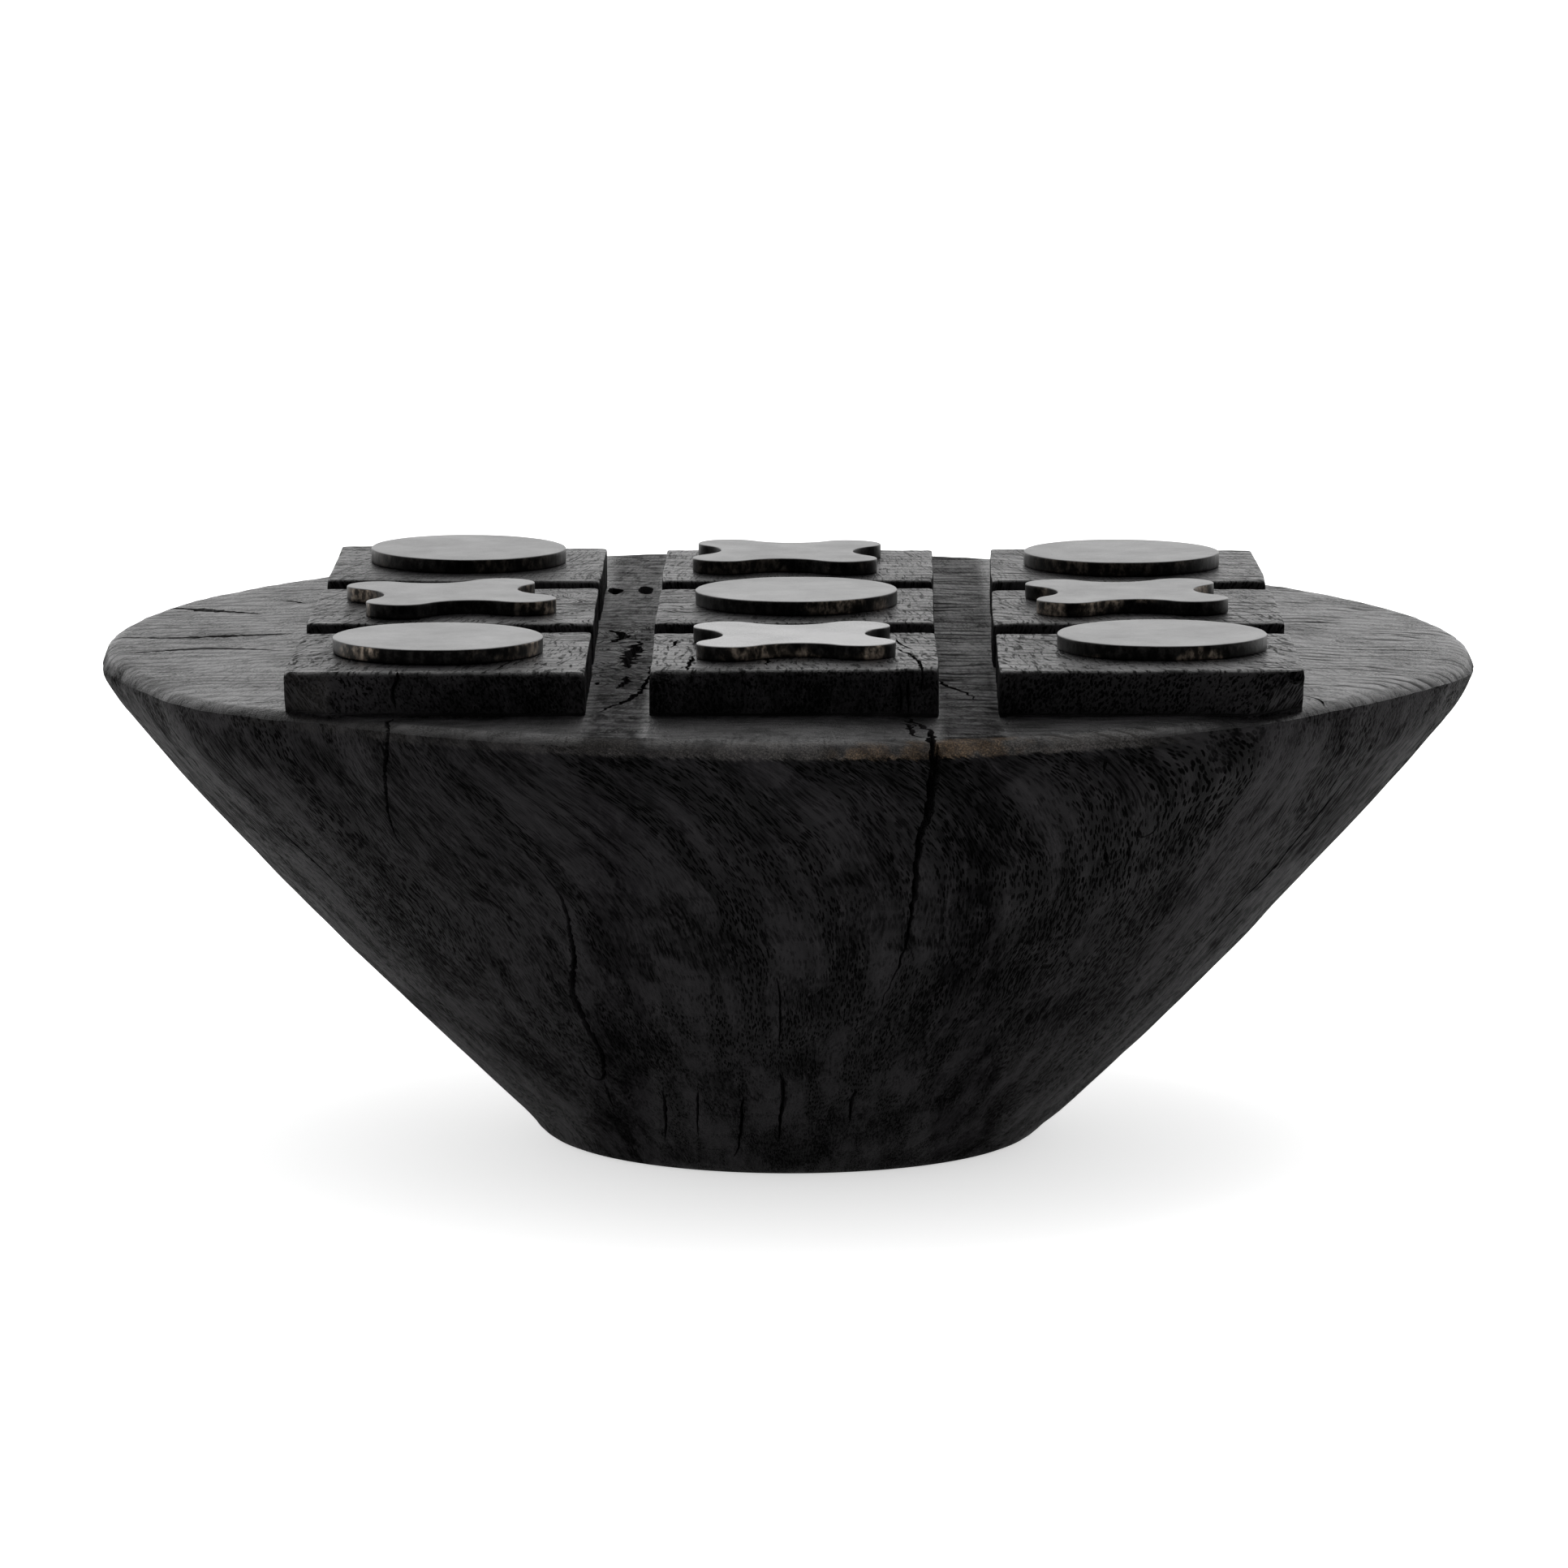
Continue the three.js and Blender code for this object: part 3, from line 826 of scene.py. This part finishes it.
class Shader:
    """A short way to build a material's nodes."""

    def __init__(self, name):
        self.material = bpy.data.materials.new(name)
        self.material.use_nodes = True
        self.tree = self.material.node_tree
        self.surface = self.tree.nodes["Principled BSDF"]

    def node(self, kind, inputs=None, **settings):
        made = self.tree.nodes.new("ShaderNode" + kind)
        for key, value in settings.items():
            setattr(made, key, value)
        for key, value in (inputs or {}).items():
            self.feed(made.inputs[key], value)
        return made

    def feed(self, socket, value):
        if isinstance(value, bpy.types.NodeSocket):
            self.tree.links.new(value, socket)
        else:
            socket.default_value = value

    def math(self, operation, *values, clamp=False):
        made = self.node("Math", operation=operation, use_clamp=clamp)
        for socket, value in zip(made.inputs, values):
            self.feed(socket, value)
        return made.outputs[0]

    def plus(self, first, second, clamp=False):
        return self.math("ADD", first, second, clamp=clamp)

    def minus(self, first, second):
        return self.math("SUBTRACT", first, second)

    def larger(self, first, second):
        return self.math("MAXIMUM", first, second)

    def times(self, first, *others):
        """The product of two or more values."""
        for other in others:
            first = self.math("MULTIPLY", first, other)
        return first

    def length(self, first, second):
        """The long side of a right triangle with these short sides."""
        return self.math("SQRT", self.plus(self.times(first, first), self.times(second, second)))

    def millimetres(self):
        """The place on the object, in millimetres."""
        place = self.node("TexCoord").outputs["Object"]
        return self.stretch(place, 1 / MM, 1 / MM, 1 / MM)

    def stretch(self, vector, x, y, z):
        return self.node("VectorMath", {0: vector, 1: (x, y, z)}, operation="MULTIPLY").outputs[0]

    def split(self, vector):
        return self.node("SeparateXYZ", {0: vector}).outputs

    def join(self, x, y, z=0.0):
        return self.node("CombineXYZ", {0: x, 1: y, 2: z}).outputs[0]

    def upward(self):
        """How far the surface faces up: 1 where it is level, 0 where it is upright."""
        return self.split(self.node("NewGeometry").outputs["Normal"])[2]

    def noise(self, vector, scale, detail=2.0, roughness=0.5, distortion=0.0):
        inputs = {"Vector": vector, "Scale": scale, "Detail": detail}
        inputs.update({"Roughness": roughness, "Distortion": distortion})
        return self.node("TexNoise", inputs).outputs["Fac"]

    def step(self, value, low, high, to_low=0.0, to_high=1.0):
        """A smooth step of a value between two limits."""
        inputs = {"Value": value, "From Min": low, "From Max": high, "To Min": to_low, "To Max": to_high}
        return self.node("MapRange", inputs, interpolation_type="SMOOTHSTEP").outputs[0]

    def blend(self, share, low, high):
        """A colour between two colours."""
        made = self.node("Mix", data_type="RGBA")
        self.feed(made.inputs[0], share)
        self.feed(made.inputs[6], low)
        self.feed(made.inputs[7], high)
        return made.outputs[2]

    def bump(self, height, distance, normal=None):
        made = self.node("Bump", {"Height": height, "Distance": distance, "Strength": 1.0})
        if normal is not None:
            self.feed(made.inputs["Normal"], normal)
        return made.outputs[0]

    def set(self, **sockets):
        for name, value in sockets.items():
            self.feed(self.surface.inputs[name.replace("_", " ")], value)


def grey(value, tint=(1.0, 1.0, 1.0)):
    return (value * tint[0], value * tint[1], value * tint[2], 1.0)


def upright_fibres(s, mm, frontness):
    """Places along the fibres: they fan out with height, and swirl to one side under the rim in front."""
    x, y, z = s.split(mm)
    fan = s.plus(0.46, s.times(z, 0.54 / PLATE_HEIGHT))
    drift = s.minus(s.noise(mm, 0.022, 2.0), 0.5)
    high = s.math("DIVIDE", s.minus(z, SWIRL_START), PLATE_HEIGHT - SWIRL_START, clamp=True)
    swirl = s.times(high, high, s.step(frontness, 0.70, 0.96, 0.03, 0.25))
    swirl = s.times(s.plus(swirl, s.times(drift, 0.06)), s.step(z, PLATE_HEIGHT + 1.0, PLATE_HEIGHT))
    fanned = s.join(s.math("DIVIDE", x, fan), s.math("DIVIDE", y, fan), z)
    inputs = {"Vector": fanned, "Angle": swirl}
    return s.node("VectorRotate", inputs, rotation_type="Z_AXIS").outputs[0]


def burl_share(s, x, y):
    """1 at the burl in the left groove, 0 away from it."""
    across = s.math("DIVIDE", s.minus(x, BURL_PLACE[0]), BURL_REACH[0])
    along = s.math("DIVIDE", s.minus(y, BURL_PLACE[1]), BURL_REACH[1])
    return s.step(s.length(across, along), 1.5, 0.5)


def level_strokes(s, mm, burl):
    """Dark strokes on level faces. They fan out towards the player, and swirl about the burl."""
    x, y, z = s.split(mm)
    spread = s.math("DIVIDE", 400.0, s.minus(400.0, y))
    bend = s.times(s.minus(s.noise(mm, 0.04, 1.0), 0.5), s.plus(6.0, s.times(burl, 70.0)))
    rays = s.join(s.plus(s.times(x, spread), bend), s.times(y, 0.09), s.times(z, 0.12))
    on_pads = s.step(z, PLATE_HEIGHT + 6.0, PLATE_HEIGHT + 8.0)
    in_front = s.step(y, 20.0, -60.0)
    strength = s.plus(0.30, s.times(on_pads, s.plus(0.35, s.times(in_front, 0.35))))
    strokes = s.step(s.noise(rays, 1.1, 2.0, 0.62), 0.50, 0.38)
    return s.times(strokes, s.step(s.noise(mm, 0.30, 2.0), 0.34, 0.60, 0.25, 1.0), s.larger(strength, burl))


def growth_ring(s, mm):
    """How far through its growth ring a place is: wide arcs about a heart far in front of the block."""
    x, y, _ = s.split(mm)
    from_heart = s.length(s.minus(x, HEART_PLACE[0]), s.minus(y, HEART_PLACE[1]))
    wander = s.noise(mm, 0.028, 3.0, 0.55)
    return s.math("FRACT", s.plus(s.math("DIVIDE", from_heart, RING_WIDTH), s.times(wander, 3.6)))


def rubbed_rim(s, mm, dashes, radius, frontness):
    """Where the char has rubbed thin along the rim in front, and where the rubbed wood is brown."""
    x, _, z = s.split(mm)
    ragged = s.plus(z, s.times(s.noise(dashes, 0.8, 2.0), 3.0))
    rubbed = s.times(
        s.step(radius, PLATE_RADIUS - 0.4, PLATE_RADIUS + 1.2),
        s.step(ragged, 134.6, 135.6),
        s.step(x, -95.0, 30.0, 0.25, 1.0),
        s.step(x, 112.0, 70.0),
        s.step(frontness, 0.60, 0.80),
        s.step(s.noise(mm, 0.11, 3.0, 0.6), 0.30, 0.60, 0.25, 1.0),
    )
    brown = s.times(s.step(x, 6.0, 20.0), s.step(x, 74.0, 56.0), s.step(s.noise(mm, 0.16, 2.0), 0.38, 0.58))
    return rubbed, brown


def groove_share(s, x, z):
    """1 on the floors of the two grooves that run from front to back, 0 elsewhere."""
    left = s.times(s.step(x, -56.0, -50.0), s.step(x, -35.0, -40.0))
    right = s.times(s.step(x, 37.0, 42.0), s.step(x, 59.0, 54.0))
    return s.times(s.plus(left, right), s.step(z, PLATE_HEIGHT + 6.0, PLATE_HEIGHT + 3.0))


def charred_wood():
    """Char over open-pored wood, glossier on level faces and brown where the rim has rubbed thin."""
    s = Shader("charred_wood")
    mm = s.millimetres()
    x, y, z = s.split(mm)
    radius = s.length(x, y)
    frontness = s.math("DIVIDE", s.times(y, -1.0), s.larger(radius, 1.0))
    level = s.step(s.upward(), 0.20, 0.78)
    fibre = upright_fibres(s, mm, frontness)
    dashes = s.stretch(fibre, 1, 1, 0.24)
    lines = s.stretch(fibre, 1, 1, 0.07)
    burl = burl_share(s, x, y)
    ring = growth_ring(s, mm)
    early = s.times(s.step(ring, 0.0, 0.12), s.step(ring, 0.75, 0.25))
    patches = s.noise(lines, 0.075, 3.0, 0.6)
    blotch = s.noise(mm, 0.045, 3.0, 0.62)
    fine = s.noise(mm, 2.4, 3.0, 0.7)
    streaks = s.noise(lines, 0.36, 3.0, 0.6)

    # Open pores: short dashes along the fibres, crowded in the early wood and in patches.
    crowd = s.plus(s.step(patches, 0.42, 0.62, 0.18, 1.0), s.times(early, 0.30), clamp=True)
    cell = s.node("TexVoronoi", {"Vector": dashes, "Scale": 1.35, "Randomness": 0.9}).outputs["Distance"]
    dash = s.times(s.step(cell, 0.50, 0.32), crowd)
    line = s.times(s.step(s.noise(lines, 1.0, 2.0, 0.6), 0.50, 0.38), s.step(blotch, 0.42, 0.62))
    cut_face = s.times(s.step(z, PLATE_HEIGHT + 0.5, PLATE_HEIGHT + 2.0), s.step(level, 0.6, 0.2))
    upright = s.times(s.step(s.noise(lines, 1.5, 2.0, 0.6), 0.44, 0.38), cut_face)
    pore = s.larger(dash, s.larger(s.times(line, 0.8), upright))
    hatch = level_strokes(s, mm, burl)
    pore = s.plus(s.times(pore, s.minus(1.0, s.times(level, 0.6))), s.times(hatch, level), clamp=True)
    ring_line = s.times(
        s.step(ring, 0.0, 0.10),
        s.step(ring, 0.45, 0.15),
        s.step(s.noise(mm, 0.06, 2.0), 0.45, 0.62),
        level,
        s.step(x, 20.0, 45.0, 0.35, 0.8),
    )
    pore = s.larger(pore, ring_line)

    # Colour: near black, with paler streaks, black pores and the rubbed rim.
    char = s.step(patches, 0.60, 0.36)
    dark = s.blend(char, grey(0.0026, (1, 0.95, 1.03)), grey(0.0098, (1, 0.94, 1.02)))
    dark = s.blend(s.step(blotch, 0.48, 0.68, 0.0, 0.75), dark, grey(0.0022))
    dark = s.blend(s.step(streaks, 0.45, 0.75, 0.0, 0.55), dark, grey(0.017, (1, 0.94, 1.0)))
    pale_face = s.times(cut_face, s.step(x, 20.0, 90.0, 0.25, 0.8))
    dark = s.blend(pale_face, dark, grey(0.0085, (1, 0.95, 1.0)))
    dark = s.blend(pore, dark, grey(0.0006))
    grain = s.step(fine, 0.40, 0.72)
    pale = s.blend(grain, grey(0.03, (1, 0.95, 0.92)), grey(0.11, (1, 0.93, 0.88)))
    warm = s.blend(grain, grey(0.05, (1, 0.78, 0.60)), grey(0.19, (1, 0.70, 0.46)))
    rubbed, brown = rubbed_rim(s, mm, dashes, radius, frontness)
    colour = s.blend(s.times(rubbed, 0.62), dark, s.blend(brown, pale, warm))

    # The floors of the grooves are matt, most of all between the front pads, and so is the strip in front.
    groove = groove_share(s, x, z)
    front_strip = s.times(s.step(y, -142.0, -150.0), s.step(s.math("ABSOLUTE", x), 125.0, 100.0))
    sooty = s.larger(s.times(groove, s.step(y, -10.0, -90.0, 0.60, 0.92)), s.times(front_strip, 0.35))
    rough = s.plus(s.minus(0.60, s.times(level, 0.32)), s.times(pore, 0.28))
    rough = s.plus(rough, s.times(s.minus(fine, 0.5), 0.16))
    rough = s.plus(rough, s.times(early, level, 0.08))
    rough = s.plus(rough, s.times(sooty, 0.22), clamp=True)

    # Gloss: strongest on level faces to the right, weak in pores, with bands of soot in the grooves.
    gloss = s.plus(0.13, s.times(level, s.step(x, 70.0, 150.0, 0.62, 0.95), s.minus(1.0, sooty)))
    gloss = s.times(gloss, s.minus(1.0, s.times(pore, 0.82)), s.step(blotch, 0.66, 0.46, 0.50, 1.0))
    band_place = s.join(s.times(x, s.step(x, -20.0, 20.0, 0.16, 0.045)), s.times(y, 0.085))
    soot = s.times(s.step(s.noise(band_place, 1.0, 3.0, 0.6, 1.2), 0.54, 0.44), groove)
    gloss = s.times(gloss, s.minus(1.25, s.times(soot, 0.95)))

    relief = s.plus(s.plus(s.times(pore, -1.0), s.times(streaks, 0.5)), s.times(early, -0.15))
    normal = s.bump(fine, 0.00010, s.bump(relief, 0.00026))
    s.set(Base_Color=colour, Roughness=rough, Specular_IOR_Level=gloss, Normal=normal, IOR=1.20)
    return s.material


def blackened_steel():
    """Steel plate with dark scale, rubbed to bronze here and there on its cut sides."""
    s = Shader("blackened_steel")
    mm = s.millimetres()
    x, y, _ = s.split(mm)
    wall = s.step(s.upward(), 0.75, 0.35)
    patina = s.noise(mm, 0.055, 3.0, 0.6)
    streaks = s.noise(s.stretch(mm, 0.55, 0.55, 0.35), 0.9, 3.0, 0.65)
    fine = s.noise(mm, 3.0, 3.0, 0.7)

    # Painted sheen: the tops' colour is painted brightest on the front piece in the middle and darker
    # towards the back, over a random tone.
    painted_front_sheen = s.times(s.step(y, 40.0, -130.0), s.step(s.math("ABSOLUTE", x), 75.0, 20.0, 0.12, 0.75))
    tone_and_painted_sheen = s.times(s.minus(s.noise(mm, 0.07, 4.0, 0.65), 0.36), 1.3)
    tone_and_painted_sheen = s.plus(tone_and_painted_sheen, painted_front_sheen, clamp=True)
    # The tops' colour carries the painted sheen as well as the random tone.
    top = s.blend(tone_and_painted_sheen, grey(0.02, (1, 0.99, 1.0)), grey(0.115, (1, 0.99, 1.0)))

    # The sides carry scale, with bronze patches that fade towards the back.
    scale_share = s.step(streaks, 0.40, 0.75)
    scale = s.blend(scale_share, grey(0.003, (1, 0.95, 0.95)), grey(0.016, (1, 0.95, 0.92)))
    bronze_share = s.step(streaks, 0.40, 0.72)
    bronze = s.blend(bronze_share, grey(0.02, (1, 0.88, 0.76)), grey(0.27, (1, 0.82, 0.66)))
    worn = s.times(s.step(patina, 0.50, 0.62), s.step(y, 70.0, -70.0, 0.10, 1.0))
    colour = s.blend(wall, top, s.blend(worn, scale, bronze))
    speck = s.step(s.noise(mm, 1.3, 2.0, 0.5), 0.70, 0.76)
    colour = s.blend(s.times(speck, 0.6), colour, grey(0.01))

    rough = s.plus(s.minus(0.26, s.times(tone_and_painted_sheen, 0.08)), s.times(fine, 0.14))
    rough = s.plus(rough, s.times(wall, 0.12))
    relief = s.plus(s.times(streaks, wall), s.times(fine, 0.25))
    s.set(Base_Color=colour, Roughness=rough, Normal=s.bump(relief, 0.00010), Metallic=1.0)
    return s.material


# ---- Floor, light and camera ----


def floor_material():
    s = Shader("pale_floor")
    place = s.node("TexCoord").outputs["Object"]
    mottle = s.noise(place, 9.0, 3.0)
    s.set(Base_Color=s.blend(mottle, grey(0.84), grey(0.88)), Roughness=0.9, IOR=1.2)
    s.set(Emission_Color=grey(1.0), Emission_Strength=FLOOR_GLOW)
    return s.material


def make_floor():
    corners = [(x * FLOOR_REACH, y * FLOOR_REACH, 0) for x, y in ((-1, -1), (1, -1), (1, 1), (-1, 1))]
    floor = make_object("floor", corners, [(0, 1, 2, 3)])
    floor.data.materials.append(floor_material())


def make_world():
    """A white studio, darker on the player's side. The camera sees plain white behind the object."""
    world = bpy.data.worlds.new("studio")
    bpy.context.scene.world = world
    world.use_nodes = True
    tree = world.node_tree
    tree.nodes.clear()
    kinds = ("OutputWorld", "Background", "Background", "MixShader", "LightPath", "TexCoord", "VectorMath")
    output, seen, light, choose, path, place, lean = (tree.nodes.new("ShaderNode" + kind) for kind in kinds)
    ramp = tree.nodes.new("ShaderNodeMapRange")
    lean.operation = "DOT_PRODUCT"
    lean.inputs[1].default_value = BRIGHT_SIDE
    ramp.interpolation_type = "SMOOTHSTEP"
    for name, value in (("From Min", -0.9), ("From Max", 0.6), ("To Min", 0.40), ("To Max", 1.30)):
        ramp.inputs[name].default_value = value
    tree.links.new(place.outputs["Generated"], lean.inputs[0])
    tree.links.new(lean.outputs["Value"], ramp.inputs["Value"])
    tree.links.new(ramp.outputs[0], light.inputs["Strength"])
    seen.inputs["Color"].default_value = (1, 1, 1, 1)
    seen.inputs["Strength"].default_value = 1.0
    light.inputs["Color"].default_value = (1, 1, 1, 1)
    tree.links.new(path.outputs["Is Camera Ray"], choose.inputs[0])
    tree.links.new(light.outputs[0], choose.inputs[1])
    tree.links.new(seen.outputs[0], choose.inputs[2])
    tree.links.new(choose.outputs[0], output.inputs[0])


def make_lamp(name, place, target, size, watts):
    data = bpy.data.lights.new(name, "AREA")
    data.shape = "RECTANGLE"
    data.size, data.size_y = size
    data.energy = watts
    lamp = bpy.data.objects.new(name, data)
    lamp.location = place
    lamp.rotation_euler = (Vector(target) - Vector(place)).to_track_quat("-Z", "Y").to_euler()
    lamp.visible_camera = False
    bpy.context.scene.collection.objects.link(lamp)


def make_camera():
    """A long lens, about 2.3 m away and a little above the plate."""
    data = bpy.data.cameras.new("camera")
    data.sensor_width = 36.0
    data.lens = CAMERA_LENS
    data.clip_start = 0.1
    data.clip_end = 200.0
    camera = bpy.data.objects.new("camera", data)
    camera.location = CAMERA_PLACE
    camera.rotation_euler = (radians(90 - CAMERA_PITCH), 0.0, CAMERA_TURN)
    bpy.context.scene.collection.objects.link(camera)
    bpy.context.scene.camera = camera


bpy.context.scene.view_settings.view_transform = "Standard"
make_camera()
make_world()
make_lamp("top_softbox", LAMP_PLACE, (0, 0, 0.1), LAMP_SIZE, LAMP_WATTS)
make_floor()
board = make_board()
board.data.materials.clear()
board.data.materials.append(charred_wood())
steel = blackened_steel()
for piece in make_pieces():
    piece.data.materials.append(steel)
